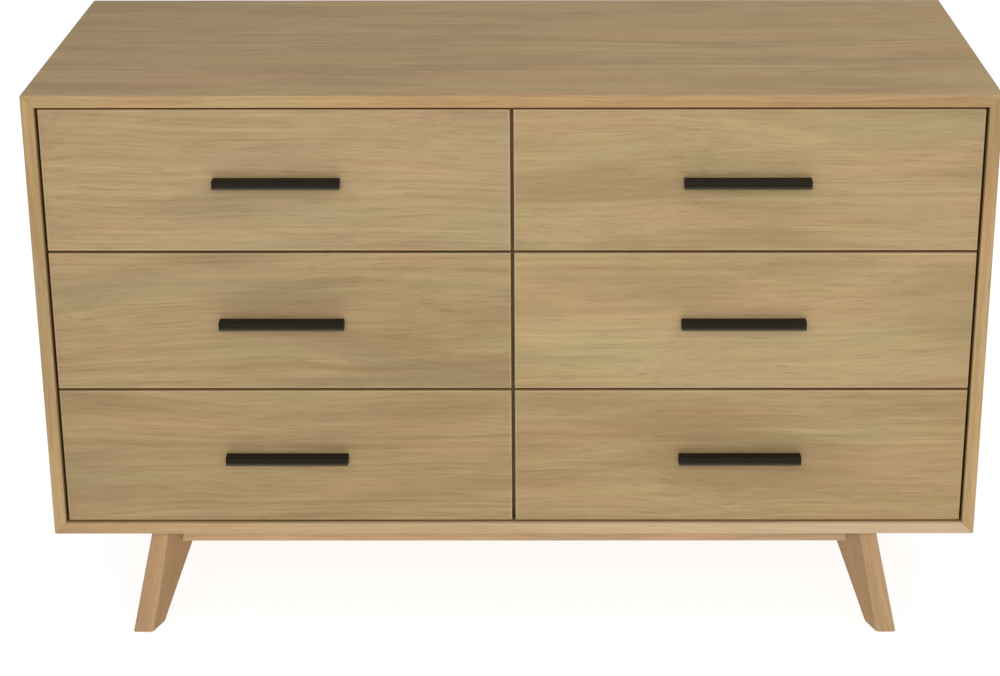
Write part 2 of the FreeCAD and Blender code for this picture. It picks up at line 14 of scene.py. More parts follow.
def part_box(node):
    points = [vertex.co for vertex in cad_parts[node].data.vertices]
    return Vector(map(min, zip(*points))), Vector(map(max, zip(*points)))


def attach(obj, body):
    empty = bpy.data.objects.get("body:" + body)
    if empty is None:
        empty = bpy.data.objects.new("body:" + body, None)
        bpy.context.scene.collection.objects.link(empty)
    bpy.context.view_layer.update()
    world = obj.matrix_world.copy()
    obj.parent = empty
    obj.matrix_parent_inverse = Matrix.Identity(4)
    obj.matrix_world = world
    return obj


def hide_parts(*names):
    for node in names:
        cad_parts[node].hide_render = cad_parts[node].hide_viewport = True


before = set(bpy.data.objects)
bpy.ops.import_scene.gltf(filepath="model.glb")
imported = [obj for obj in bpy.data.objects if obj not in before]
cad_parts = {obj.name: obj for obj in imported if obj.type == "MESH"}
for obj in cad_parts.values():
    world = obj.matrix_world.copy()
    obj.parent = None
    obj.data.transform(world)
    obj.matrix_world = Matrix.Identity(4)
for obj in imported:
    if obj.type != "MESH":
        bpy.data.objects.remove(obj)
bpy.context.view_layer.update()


# The camera stands in front of the middle and looks down on the top. Its lens, height and turn
# were fitted to the case's corners and to the gaps between the drawers.
FRAME_WIDTH, FRAME_HEIGHT = 1000, 676
FOCAL_LENGTH = 2312.4
OPTICAL_CENTRE = (540, 280.5)
LENS_PLACE = (0.0407, -2.7650, 1.3797)
LOOKS_DOWN, LOOKS_RIGHT, TILTS = 20.267, -0.117, -0.076

lipping_low, lipping_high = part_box("front_lipping")
camera = bpy.data.objects.new("camera", bpy.data.cameras.new("camera"))
bpy.context.scene.collection.objects.link(camera)
bpy.context.scene.camera = camera
camera.location = Vector((0, lipping_low.y, lipping_low.z)) + Vector(LENS_PLACE)
turn = Matrix.Rotation(math.radians(-LOOKS_RIGHT), 3, "Z")
turn = turn @ Matrix.Rotation(math.radians(90 - LOOKS_DOWN), 3, "X")
turn = turn @ Matrix.Rotation(math.radians(TILTS), 3, "Z")
camera.rotation_euler = turn.to_euler()
camera.data.lens = camera.data.sensor_width * FOCAL_LENGTH / FRAME_WIDTH
camera.data.shift_x = (FRAME_WIDTH / 2 - OPTICAL_CENTRE[0]) / FRAME_WIDTH
camera.data.shift_y = (OPTICAL_CENTRE[1] - FRAME_HEIGHT / 2) / FRAME_WIDTH


# The room is a product photographer's: a white floor that glows, as a lit sweep does, a white
# surround, a pair of large soft boxes in front, which light the reveals, and one overhead.
def linear(tone):
    """An sRGB hex tone as the linear colour that Blender works in."""
    shares = [int(tone[at:at + 2], 16) / 255 for at in (1, 3, 5)]
    parts = [share / 12.92 if share <= 0.04045 else ((share + 0.055) / 1.055) ** 2.4
             for share in shares]
    return (*parts, 1)


def add(tree, kind, inputs=(), **settings):
    """Adds a node with its settings. An input takes a value, or the node or output to link."""
    made = tree.nodes.new(kind)
    for name, setting in settings.items():
        setattr(made, name, setting)
    sockets = [socket for socket in made.inputs if socket.enabled]
    for key, value in inputs.items() if isinstance(inputs, dict) else enumerate(inputs):
        socket = sockets[key] if isinstance(key, int) else next(s for s in sockets if s.name == key)
        sources = value if isinstance(value, list) else [value]
        for source in sources:
            if isinstance(source, bpy.types.Node):
                source = next(output for output in source.outputs if output.enabled)
            if isinstance(source, bpy.types.NodeSocket):
                tree.links.new(source, socket)
            else:
                socket.default_value = source
    return made


def drive(tree, node, **sources):
    """Links each source to the input of its name, whose underscores stand for spaces."""
    for name, source in sources.items():
        output = next(output for output in source.outputs if output.enabled)
        tree.links.new(output, node.inputs[name.replace("_", " ")])


def new_material(name, tone, roughness, **shader_values):
    """A material with its plain values on the shader's own sockets, and its tree and shader."""
    material = bpy.data.materials.new(name)
    material.use_nodes = True
    shader = material.node_tree.nodes["Principled BSDF"]
    shader.inputs["Base Color"].default_value = linear(tone)
    shader.inputs["Roughness"].default_value = roughness
    for socket, value in shader_values.items():
        shader.inputs[socket.replace("_", " ")].default_value = value
    return material, material.node_tree, shader


def new_piece(name, vertices, faces, material):
    """A mesh object at the origin, with its place in its mesh."""
    mesh = bpy.data.meshes.new(name)
    mesh.from_pydata(vertices, [], faces)
    mesh.materials.append(material)
    piece = bpy.data.objects.new(name, mesh)
    bpy.context.scene.collection.objects.link(piece)
    return piece


FLOOR_REACH = 9
FLOOR_GLOW = 0.86
SURROUND_STRENGTH = 0.50
LIGHTS_AIM = (0, -0.25, 0.4)
SOFTBOXES = {
    "softbox_left": ((-1.15, -3.2, 2.2), 1.2, 20.4),
    "softbox_right": ((1.15, -3.2, 2.2), 1.2, 18.6),
    "softbox_above": ((0.75, -0.4, 2.4), 1.0, 9),
}

sweep, sweep_tree, sweep_shader = new_material("white_painted_floor", "#8E8E90", 0.9)
here = add(sweep_tree, "ShaderNodeTexCoord").outputs["Object"]
speckle = add(sweep_tree, "ShaderNodeTexNoise", {"Vector": here, "Scale": 40.0, "Detail": 3.0})
drive(sweep_tree, sweep_shader,
      Normal=add(sweep_tree, "ShaderNodeBump", {"Strength": 0.05, "Height": speckle}))
sweep_shader.inputs["Emission Color"].default_value = linear("#FFFFFF")
sweep_shader.inputs["Emission Strength"].default_value = FLOOR_GLOW
reach = [(-FLOOR_REACH, -FLOOR_REACH, 0), (FLOOR_REACH, -FLOOR_REACH, 0),
         (FLOOR_REACH, FLOOR_REACH, 0), (-FLOOR_REACH, FLOOR_REACH, 0)]
floor = new_piece("floor", reach, [(0, 1, 2, 3)], sweep)

# The surround lights the room softly, and itself looks as white as the lit sweep.
world = bpy.data.worlds.new("white_surround")
bpy.context.scene.world = world
world.use_nodes = True
surround = world.node_tree.nodes["Background"]
surround.inputs["Color"].default_value = linear("#FFFFFF")
seen = add(world.node_tree, "ShaderNodeLightPath").outputs["Is Camera Ray"]
glow = add(world.node_tree, "ShaderNodeMapRange", {"Value": seen, "To Min": SURROUND_STRENGTH,
                                                   "To Max": 1.0})
drive(world.node_tree, surround, Strength=glow)
for name, (spot, size, power) in SOFTBOXES.items():
    softbox = bpy.data.objects.new(name, bpy.data.lights.new(name, "AREA"))
    bpy.context.scene.collection.objects.link(softbox)
    softbox.data.size = size
    softbox.data.energy = power
    softbox.location = spot
    softbox.rotation_euler = (Vector(spot) - Vector(LIGHTS_AIM)).to_track_quat("Z", "Y").to_euler()
bpy.context.scene.view_settings.view_transform = "Standard"


# The case is four boards faced with sliced veneer and mitred at the corners, so that the grain
# runs up one side, over the top and down the other. It is finished with a matt clear lacquer.
# How many of each a metre of wood holds, along the log first and then across it.
BENDS = (1.5, 3.5, 3.5)
STREAKS = (3.2, 210.0, 210.0)
HAIRS = (11.0, 560.0, 560.0)
PATCHES = (3.0, 19.0, 19.0)
MINERALS = (1.7, 60.0, 60.0)
PORES = (24.0, 700.0, 700.0)
RINGS_PER_METRE = 150.0
HEART_WANDERS = (0.0, 0.07, 0.07)
RING_SHARE, STREAK_SHARE, HAIR_SHARE = 0.4, 0.5, 0.34
PALEST, DARKEST = 0.38, 0.86
HUE_SHARE = 0.4
DEEPER, BROWNER = 0.74, 0.42
MARK_SHARE = 0.22


def grain(tree, log, stretch, detail, roughness=0.5):
    """Noise that is stretched along the log: how many features a metre has along X, Y and Z."""
    stretched = add(tree, "ShaderNodeVectorMath", [log, stretch], operation="MULTIPLY")
    return add(tree, "ShaderNodeTexNoise", {"Vector": stretched, "Scale": 1.0, "Detail": detail,
                                            "Roughness": roughness})


def figure(tree, here, tones, place, turn=(0, 0, 0), streaks=1.0, clouds=0.45):
    """The figure of a board cut from a log along X through the origin, after a turn and a move.

    tones are early wood, late wood, and the rosy and greenish patches. It gives the colour, and
    the streaks and pores that the gloss and the relief follow.
    """
    early, late, rosy, green = (linear(tone) for tone in tones)
    board = add(tree, "ShaderNodeMapping", {"Vector": here, "Location": place, "Rotation": turn})
    # the log isn't straight: its heart wanders by some centimetres in a metre
    offset = add(tree, "ShaderNodeVectorMath",
                 [grain(tree, board, BENDS, 2.0).outputs["Color"], (0.5, 0.5, 0.5)],
                 operation="SUBTRACT")
    offset = add(tree, "ShaderNodeVectorMath", [offset, HEART_WANDERS], operation="MULTIPLY")
    log = add(tree, "ShaderNodeVectorMath", [board, offset], operation="ADD")
    # growth rings some 7 mm apart, cut flat, so they open into long arches near the heart
    spokes = add(tree, "ShaderNodeVectorMath", [log, (0.0, 1.0, 1.0)], operation="MULTIPLY")
    heart = add(tree, "ShaderNodeVectorMath", [spokes], operation="LENGTH")
    rings = add(tree, "ShaderNodeTexNoise", {"W": heart, "Scale": RINGS_PER_METRE, "Detail": 3.0,
                                             "Roughness": 0.55}, noise_dimensions="1D")
    # streaks 5 mm wide and 30 cm long, then finer ones, drawn coarser than the real fibres
    streak = grain(tree, log, STREAKS, 3.0, 0.55)
    hair = grain(tree, log, HAIRS, 2.0)
    tone = add(tree, "ShaderNodeMath", [rings, RING_SHARE], operation="MULTIPLY")
    tone = add(tree, "ShaderNodeMath", [streak, STREAK_SHARE, tone], operation="MULTIPLY_ADD")
    tone = add(tree, "ShaderNodeMath", [hair, HAIR_SHARE, tone], operation="MULTIPLY_ADD")
    tone = add(tree, "ShaderNodeMapRange", {
        "Value": tone, "From Min": PALEST, "From Max": DARKEST,
        "To Min": 0.5 - streaks / 2, "To Max": 0.5 + streaks / 2})
    colour = add(tree, "ShaderNodeMix", {"Factor": tone, "A": early, "B": late}, data_type="RGBA")
    # broad patches of another hue and depth, some 5 cm wide and 30 cm long
    cloud = grain(tree, log, PATCHES, 3.0)
    parts = add(tree, "ShaderNodeSeparateColor", [cloud.outputs["Color"]])
    deep = tuple(part * DEEPER for part in late[:3]) + (1,)
    for part, patch, share in (("Red", rosy, HUE_SHARE), ("Green", green, HUE_SHARE),
                               ("Blue", deep, clouds)):
        amount = add(tree, "ShaderNodeMapRange", {"Value": parts.outputs[part], "From Min": 0.42,
                                                  "From Max": 0.68, "To Max": share},
                     interpolation_type="SMOOTHSTEP")
        colour = add(tree, "ShaderNodeMix", {"Factor": amount, "A": colour, "B": patch},
                     data_type="RGBA")
    # a mineral streak here and there, and open pores as short dark dashes
    mineral = add(tree, "ShaderNodeMapRange", {
        "Value": grain(tree, log, MINERALS, 4.0, 0.65), "From Min": 0.6, "From Max": 0.74,
        "To Max": MARK_SHARE}, interpolation_type="SMOOTHSTEP")
    pores = add(tree, "ShaderNodeMapRange", {
        "Value": grain(tree, log, PORES, 0.0), "From Min": 0.62, "From Max": 0.74,
        "To Max": MARK_SHARE})
    dark = add(tree, "ShaderNodeMath", [mineral, pores], operation="MAXIMUM")
    brown = tuple(part * BROWNER for part in late[:3]) + (1,)
    colour = add(tree, "ShaderNodeMix", {"Factor": dark, "A": colour, "B": brown}, data_type="RGBA")
    return colour, streak, pores


GLOSS_SPREAD = 0.07
PORE_SINKS = -1.6


def wood(name, tones, place, turn=(0, 0, 0), box=None, roughness=0.5, streaks=1.0, clouds=0.45,
         coords=None, finish=None):
    """A lacquered board with its figure, gloss and relief.

    box is its lowest and highest corner, along whose edges a lighter band is painted: a painted
    highlight where the eased edges catch the light.
    coords gives other coordinates for the figure, and finish changes the colour in places.
    """
    material, tree, shader = new_material(name, tones[0], roughness, Coat_Weight=0.05,
                                          Coat_Roughness=0.45, IOR=1.5, Specular_IOR_Level=0.3)
    here = add(tree, "ShaderNodeTexCoord").outputs["Object"]
    board = coords(tree, here) if coords else here
    colour, streak, pores = figure(tree, board, tones, place, turn, streaks, clouds)
    if box:
        colour = painted_edge_highlight(tree, here, box, colour)
    if finish:
        colour = finish(tree, here, colour)
    gloss = add(tree, "ShaderNodeMapRange", {
        "Value": streak, "From Min": 0.3, "From Max": 0.7,
        "To Min": roughness - GLOSS_SPREAD, "To Max": roughness + GLOSS_SPREAD})
    relief = add(tree, "ShaderNodeMath", [pores, PORE_SINKS, streak], operation="MULTIPLY_ADD")
    bump = add(tree, "ShaderNodeBump", {"Strength": 0.35, "Distance": 0.0004, "Height": relief})
    drive(tree, shader, Base_Color=colour, Roughness=gloss, Normal=bump)
    return material


# painted highlight: the tone, width, wander and share of the lighter band along the drawer fronts'
# edges
EDGE_HIGHLIGHT_TONE = "#D9BE93"
EDGE_HIGHLIGHT_BAND = 0.0012
EDGE_HIGHLIGHT_WANDERS = 0.0035
EDGE_HIGHLIGHT_SHARE = 0.3


def painted_edge_highlight(tree, here, box, colour):
    """Lightens a colour along the edges of a box, in a band that comes and goes: a painted
    highlight on the eased edges.
    """
    low, high = box
    centre = (low + high) / 2
    half = (high - low) / 2
    away = add(tree, "ShaderNodeVectorMath", [here, tuple(centre)], operation="SUBTRACT")
    away = add(tree, "ShaderNodeVectorMath", [away], operation="ABSOLUTE")
    inside = add(tree, "ShaderNodeVectorMath", [tuple(half), away], operation="SUBTRACT")
    x, y, z = add(tree, "ShaderNodeSeparateXYZ", [inside]).outputs
    # a point is on an edge where the second smallest of its three depths is small
    nearest = add(tree, "ShaderNodeMath", [x, y], operation="MINIMUM")
    farthest = add(tree, "ShaderNodeMath", [x, y], operation="MAXIMUM")
    second = add(tree, "ShaderNodeMath", [farthest, z], operation="MINIMUM")
    second = add(tree, "ShaderNodeMath", [nearest, second], operation="MAXIMUM")
    patchy = add(tree, "ShaderNodeTexNoise", {"Vector": here, "Scale": 24.0, "Detail": 3.0})
    depth = add(tree, "ShaderNodeMath", [patchy, -EDGE_HIGHLIGHT_WANDERS, second],
                operation="MULTIPLY_ADD")
    edge_highlight = add(tree, "ShaderNodeMapRange", {
        "Value": depth, "From Min": -EDGE_HIGHLIGHT_BAND, "From Max": EDGE_HIGHLIGHT_BAND,
        "To Min": EDGE_HIGHLIGHT_SHARE, "To Max": 0.0}, interpolation_type="SMOOTHSTEP")
    return add(tree, "ShaderNodeMix", {"Factor": edge_highlight, "A": colour, "B": linear(EDGE_HIGHLIGHT_TONE)},
               data_type="RGBA")


def dress(node, material):
    """Gives a CAD node its material."""
    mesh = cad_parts[node].data
    mesh.materials.clear()
    mesh.materials.append(material)


UPRIGHT = (0, math.radians(90), 0)
TOP_TONES = ("#C2A578", "#9E8158", "#B9926C", "#A7986B")
SIDE_TONES = ("#B89A6C", "#9C7F55", "#AE8A68", "#A0966C")
TOP_PLACE = (0.4, 0.05, -0.83)
LEFT_PLACE = (3.3, 0.1, 0.64)
RIGHT_PLACE = (5.2, -0.06, -0.76)
BOTTOM_PLACE = (2.1, 0.06, -0.12)
CALM = {"streaks": 0.8, "clouds": 0.35}
top_board = wood("lacquered_veneer_top", TOP_TONES, TOP_PLACE, roughness=0.58, **CALM)
bottom_board = wood("lacquered_veneer_bottom", SIDE_TONES, BOTTOM_PLACE)
left_board = wood("lacquered_veneer_left", SIDE_TONES, LEFT_PLACE, UPRIGHT)
right_board = wood("lacquered_veneer_right", SIDE_TONES, RIGHT_PLACE, UPRIGHT)
dress("top_panel", top_board)
dress("bottom_panel", bottom_board)
dress("side_panel_left", left_board)
dress("side_panel_right", right_board)


# The lipping is four strips of solid wood, glued along the front edges of the boards before the
# veneer was laid over both, so its own grain shows only from the front. The corners are mitred
# with a hairline of glue. The strip along the bottom has painted light, stronger towards the right,
# for the floor's bounce.
LIPPING_TONES = ("#C8A674", "#AA8554", "#C0936A", "#AFA075")
LIPPING_PLACE = (7.3, 0.0, 0.0)
BOUNCE_LIGHT_TONE, BOUNCE_LIGHT_AT_LEFT, BOUNCE_LIGHT_AT_RIGHT = "#DCC9AC", 0.08, 0.5
MITRE_GLUE, GLUE_TONE, GLUE_SHARE = 0.0003, "#6B5235", 0.4
FACES_SIDEWAYS, FACES_FORWARDS = 0.45, 0.75
FACES_OUTWARDS = 0.05


def place_in_frame(tree, here):
    """Where a point is in the lipping: from its middle, in which strips, and off a mitre."""
    middle = (lipping_low + lipping_high) / 2
    half = (lipping_high - lipping_low) / 2
    away = add(tree, "ShaderNodeVectorMath", [here, tuple(middle)], operation="SUBTRACT")
    x, y, z = add(tree, "ShaderNodeSeparateXYZ", [away]).outputs
    depths = []
    for coordinate, reach in ((x, half.x), (z, half.z)):
        from_middle = add(tree, "ShaderNodeMath", [coordinate], operation="ABSOLUTE")
        depths.append(add(tree, "ShaderNodeMath", [reach, from_middle], operation="SUBTRACT"))
    upright = add(tree, "ShaderNodeMath", depths, operation="LESS_THAN")
    off_mitre = add(tree, "ShaderNodeMath", depths, operation="SUBTRACT")
    off_mitre = add(tree, "ShaderNodeMath", [off_mitre], operation="ABSOLUTE")
    return away, (x, y, z), half, upright, off_mitre


def along_strips(tree, here):
    """Coordinates that run along the strip a point is in, and apart from its neighbours."""
    away, (x, y, z), _, upright, _ = place_in_frame(tree, here)
    swapped = add(tree, "ShaderNodeCombineXYZ", [z, y, x])
    return add(tree, "ShaderNodeMix", {"Factor": upright, "A": away, "B": swapped},
               data_type="VECTOR")


def faced_over(tree, here, colour):
    """Painted bounce light on the bottom strip, the glue in the mitres, and the boards' veneer on
    the outer faces.
    """
    away, (x, _, z), half, upright, off_mitre = place_in_frame(tree, here)
    # painted light: the bottom strip is mixed towards a light tone, more towards the right, for the
    # floor's bounce
    level = add(tree, "ShaderNodeMath", [1.0, upright], operation="SUBTRACT")
    low = add(tree, "ShaderNodeMath", [z, 0.0], operation="LESS_THAN")
    low = add(tree, "ShaderNodeMath", [level, low], operation="MULTIPLY")
    painted_bounce = add(tree, "ShaderNodeMapRange", {"Value": x, "From Min": -half.x, "From Max": half.x,
                                            "To Min": BOUNCE_LIGHT_AT_LEFT, "To Max": BOUNCE_LIGHT_AT_RIGHT})
    painted_bounce = add(tree, "ShaderNodeMath", [low, painted_bounce], operation="MULTIPLY")
    colour = add(tree, "ShaderNodeMix", {"Factor": painted_bounce, "A": colour, "B": linear(BOUNCE_LIGHT_TONE)},
                 data_type="RGBA")
    glue = add(tree, "ShaderNodeMapRange", {"Value": off_mitre, "From Min": MITRE_GLUE,
                                            "From Max": 2 * MITRE_GLUE, "To Min": GLUE_SHARE,
                                            "To Max": 0.0})
    colour = add(tree, "ShaderNodeMix", {"Factor": glue, "A": colour, "B": linear(GLUE_TONE)},
                 data_type="RGBA")
    on_right = add(tree, "ShaderNodeMath", [x, 0.0], operation="GREATER_THAN")
    side_place = add(tree, "ShaderNodeMix", {"Factor": on_right, "A": LEFT_PLACE, "B": RIGHT_PLACE},
                     data_type="VECTOR")
    top, _, _ = figure(tree, here, TOP_TONES, TOP_PLACE, **CALM)
    sides, _, _ = figure(tree, here, SIDE_TONES, side_place, UPRIGHT)
    veneer = add(tree, "ShaderNodeMix", {"Factor": upright, "A": top, "B": sides}, data_type="RGBA")
    normal = add(tree, "ShaderNodeNewGeometry").outputs["Normal"]
    front = add(tree, "ShaderNodeVectorMath", [normal, (0, -1, 0)], operation="DOT_PRODUCT")
    edge = add(tree, "ShaderNodeMapRange", {
        "Value": front.outputs["Value"], "From Min": FACES_SIDEWAYS, "From Max": FACES_FORWARDS,
        "To Min": 1.0, "To Max": 0.0})
    outwards = add(tree, "ShaderNodeVectorMath", [normal, away], operation="DOT_PRODUCT")
    outer = add(tree, "ShaderNodeMath", [outwards.outputs["Value"], FACES_OUTWARDS],
                operation="GREATER_THAN")
    covered = add(tree, "ShaderNodeMath", [edge, outer], operation="MULTIPLY")
    return add(tree, "ShaderNodeMix", {"Factor": covered, "A": colour, "B": veneer},
               data_type="RGBA")


lipping_wood = wood("lacquered_solid_lipping", LIPPING_TONES, LIPPING_PLACE,
                    coords=along_strips, finish=faced_over)
dress("front_lipping", lipping_wood)


# Inside the case stand the divider and the cross rails, of plain pale wood that nobody sees
# until a drawer is out, and behind them lies a thin plywood back in its rabbets.
DIVIDER_TONES, DIVIDER_PLACE = ("#CDB68C", "#B59B70", "#C4A27C", "#BCAF88"), (1.7, 0.08, 0.02)
RAIL_TONES, RAIL_PLACE = ("#8F7B5B", "#776347", "#886D52", "#837A5E"), (6.1, 0.2, -0.5)
BACK_TONES, BACK_PLACE = ("#BFA57A", "#A78A61", "#B8966F", "#AEA079"), (9.4, -0.2, -0.51)
divider_wood = wood("sealed_poplar_upright", DIVIDER_TONES, DIVIDER_PLACE, UPRIGHT, roughness=0.6)
cross_rail_wood = wood("sealed_poplar_rails", RAIL_TONES, RAIL_PLACE, roughness=0.6)
dress("centre_divider", divider_wood)
dress("cross_rails", cross_rail_wood)
back_board = wood("plywood_back", BACK_TONES, BACK_PLACE, roughness=0.62, streaks=0.7, clouds=0.25)
dress("back_panel", back_board)


# The base is four solid legs that taper and splay outwards, with rails between them. The legs
# are bolted through the case's bottom, their arrises are eased and the inner heel is rounded.
LEG_ARRIS = 0.0024
LEG_HEEL = 0.004
# each corner's distance in from the case's side, and back from its front
LEG_FOOT = ((0.095, 0.002), (0.122, 0.002), (0.133, 0.032), (0.095, 0.032))
LEG_TOP = ((0.128, 0.012), (0.150, 0.012), (0.188, 0.060), (0.128, 0.060))
LEG_TONES = ("#CBA679", "#AE875C", "#C2956E", "#BAA37B")
# the tone and share of the painted shade on each leg's inner face
INNER_FACE_SHADE_TONE, INNER_FACE_SHADE_SHARE = "#875D2A", 0.55
SHARP_NEAR_TOP, FLAT_NEAR_TOP = 0.01, 0.001
case_middle_y = (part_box("side_panel_left")[1].y + lipping_low.y) / 2


def leg(name, side, end, place):
    """One leg: a tapered block with rounded arrises, and its grain along its own axis."""
    low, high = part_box(name)
    corners = []
    for outline, level in ((LEG_FOOT, low.z), (LEG_TOP, high.z)):
        for inset, setback in outline:
            x = side * (lipping_high.x - inset)
            y = lipping_low.y + setback
            corners.append(Vector((x, y if end < 0 else 2 * case_middle_y - y, level)))
    axis = sum(corners[4:], Vector()) - sum(corners[:4], Vector())
    turn = axis.rotation_difference(Vector((1, 0, 0))).to_euler()

    def painted_inner_shade(tree, here, colour):
        """Painted shade: the face towards the middle is mixed towards a darker, redder brown."""
        normal = add(tree, "ShaderNodeNewGeometry").outputs["Normal"]
        inwards = add(tree, "ShaderNodeVectorMath", [normal, (-side, 0, 0)],
                      operation="DOT_PRODUCT")
        inner_shade = add(tree, "ShaderNodeMapRange", {"Value": inwards.outputs["Value"], "From Min": 0.3,
                                                 "From Max": 0.8, "To Max": INNER_FACE_SHADE_SHARE})
        return add(tree, "ShaderNodeMix", {"Factor": inner_shade, "A": colour, "B": linear(INNER_FACE_SHADE_TONE)},
                   data_type="RGBA")

    material = wood(f"lacquered_solid_{name}", LEG_TONES, place, turn, roughness=0.46,
                    finish=painted_inner_shade)
    block = bmesh.new()
    made = [block.verts.new(corner) for corner in corners]
    block.faces.new(made[:4])
    block.faces.new(made[4:])
    for at in range(4):
        block.faces.new([made[at], made[(at + 1) % 4], made[(at + 1) % 4 + 4], made[at + 4]])
    bmesh.ops.recalc_face_normals(block, faces=block.faces)
    heel = [edge for edge in block.edges if set(edge.verts) == {made[1], made[2]}]
    bmesh.ops.bevel(block, geom=heel, offset=LEG_HEEL, segments=3, profile=0.5, affect="EDGES")
    eased = [edge for edge in block.edges
             if min(vert.co.z for vert in edge.verts) < high.z - SHARP_NEAR_TOP]
    bmesh.ops.bevel(block, geom=eased, offset=LEG_ARRIS, segments=3, profile=0.5, affect="EDGES")
    # the bevels number their corners otherwise in each run, so corners and faces are sorted
    corners = sorted(block.verts, key=lambda corner: [round(part, 5) for part in corner.co])
    number = {corner: at for at, corner in enumerate(corners)}
    outlines = [[number[corner] for corner in face.verts] for face in block.faces]
    places = [tuple(corner.co) for corner in corners]
    block.free()
    piece = new_piece(name + "_turned", places, sorted(outlines, key=sorted), material)
    for face in piece.data.polygons:
        face.use_smooth = True
    for edge in piece.data.edges:
        lowest = min(places[at][2] for at in edge.vertices)
        edge.use_edge_sharp = lowest >= high.z - FLAT_NEAR_TOP
    piece.modifiers.new("flat_faces", "WEIGHTED_NORMAL").keep_sharp = True
    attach(piece, "case")
    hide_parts(name)


leg("leg_front_left", -1, -1, (1.1, 0.33, 0.42))
leg("leg_front_right", 1, -1, (6.4, 0.27, -0.52))
leg("leg_rear_left", -1, 1, (3.3, -0.12, 0.41))
leg("leg_rear_right", 1, 1, (4.4, -0.15, -0.44))
# The front rail's tones are lighter than the legs': painted light that makes up for the shade under
# the case.
FRONT_RAIL_LIGHTENED_TONES = ("#DAB88D", "#C09A6F", "#D2A680", "#CAB48C")
FRONT_RAIL_PLACE = (5.7, 0.26, -0.15)
OTHER_RAILS_PLACE = (8.7, -0.1, -0.15)
dress("base_rail_front", wood("front_rail_painted_lighter", FRONT_RAIL_LIGHTENED_TONES, FRONT_RAIL_PLACE,
                              clouds=0.25))
dress("base_rails", wood("sealed_solid_rails", LEG_TONES, OTHER_RAILS_PLACE, roughness=0.55))


# A glide of brown moulded nylon is pressed under each foot. It is matt, with the faint grain
# that a spark-eroded mould leaves.
glide_plastic, tree, shader = new_material("moulded_nylon", "#80684C", 0.55, IOR=1.53)
here = add(tree, "ShaderNodeTexCoord").outputs["Object"]
grit = add(tree, "ShaderNodeTexNoise", {"Vector": here, "Scale": 900.0, "Detail": 2.0})
shade = add(tree, "ShaderNodeMix", {"Factor": grit, "A": linear("#765F44"), "B": linear("#8B7254")},
            data_type="RGBA")
bump = add(tree, "ShaderNodeBump", {"Strength": 0.3, "Distance": 0.0002, "Height": grit})
drive(tree, shader, Base_Color=shade, Normal=bump)
dress("foot_glides", glide_plastic)


# Each drawer front is one sheet of veneer on its own core, so no two have the same figure. The
# front has square corners and finely eased edges, and sits just behind the case's front edge.
FRONTS = {
    ("top", "left"): ("#BFA47A", "#A1875E", "#BB9573", "#A99C74", (0.3, 0.30, -0.80)),
    ("top", "right"): ("#C1A578", "#A2875C", "#BE9975", "#A99D71", (2.9, 0.28, -0.70)),
    ("middle", "left"): ("#BA9F73", "#9C8158", "#B5916E", "#A4986E", (5.1, 0.32, -0.44)),
    ("middle", "right"): ("#C5A97A", "#A78B5E", "#C19B74", "#AFA174", (7.7, 0.27, -0.60)),
    ("bottom", "left"): ("#BA9E72", "#9C8056", "#B5906D", "#A4976D", (9.6, 0.29, -0.35)),
    ("bottom", "right"): ("#BEA173", "#A08358", "#BA936E", "#A89A6D", (11.9, 0.31, -0.22)),
}
# each front's box gets a painted highlight along its eased edges
for (row, column), (*tones, place) in FRONTS.items():
    name = f"drawer_{row}_{column}_front"
    dress(name, wood(f"lacquered_veneer_front_{row}_{column}", tones, place, box=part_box(name),
                     streaks=1.15))


# Each drawer box is of birch plywood: two sides, an inner front and a back, glued and clear
# lacquered. The plies show as bands along the sawn top edges. The bottom lies in a groove.
NINE_PLIES = 0.0133
PLY_THICKNESS = NINE_PLIES / 9
LONG_PLY, END_PLY = "#D8C49B", "#A98D63"
FACES_UP = 0.8
BIRCH_TONES = ("#DCC9A2", "#CDB78E", "#D6BC98", "#D0C29E")
THIN_BIRCH_PLACE = (1.9, 0.4, 0.3)


def birch_plywood(name, place, box):
    """Birch plywood whose sawn edges look up: bands across the thickness of each wall."""
    low, high = box

    def sawn_edges(tree, here, colour):
        """The plies on the faces that look up, which lie along the outside of the box."""
        away = add(tree, "ShaderNodeVectorMath", [here, tuple((low + high) / 2)],
                   operation="SUBTRACT")
        away = add(tree, "ShaderNodeVectorMath", [away], operation="ABSOLUTE")
        depth = add(tree, "ShaderNodeVectorMath", [tuple((high - low) / 2), away],
                    operation="SUBTRACT")
        x, y, _ = add(tree, "ShaderNodeSeparateXYZ", [depth]).outputs
        into_wall = add(tree, "ShaderNodeMath", [x, y], operation="MINIMUM")
        ply = add(tree, "ShaderNodeMath", [into_wall, PLY_THICKNESS * 2], operation="PINGPONG")
        glue = add(tree, "ShaderNodeMapRange", {"Value": ply, "From Min": PLY_THICKNESS * 0.8,
                                                "From Max": PLY_THICKNESS * 1.2},
                   interpolation_type="SMOOTHSTEP")
        bands = add(tree, "ShaderNodeMix", {"Factor": glue, "A": linear(LONG_PLY),
                                            "B": linear(END_PLY)}, data_type="RGBA")
        normal = add(tree, "ShaderNodeNewGeometry").outputs["Normal"]
        up = add(tree, "ShaderNodeSeparateXYZ", [normal]).outputs["Z"]
        on_edge = add(tree, "ShaderNodeMath", [up, FACES_UP], operation="GREATER_THAN")
        return add(tree, "ShaderNodeMix", {"Factor": on_edge, "A": colour, "B": bands},
                   data_type="RGBA")

    return wood(name, BIRCH_TONES, place, roughness=0.55, streaks=0.6, finish=sawn_edges)


thin_birch = wood("thin_birch_plywood", BIRCH_TONES, THIN_BIRCH_PLACE, roughness=0.6, streaks=0.6)
for at, (row, column) in enumerate(FRONTS):
    name = f"drawer_{row}_{column}"
    dress(name + "_box", birch_plywood(f"birch_plywood_{row}_{column}", (1.3 + at, 0.2, 0.15 * at),
                                       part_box(name + "_box")))
    dress(name + "_bottom", thin_birch)
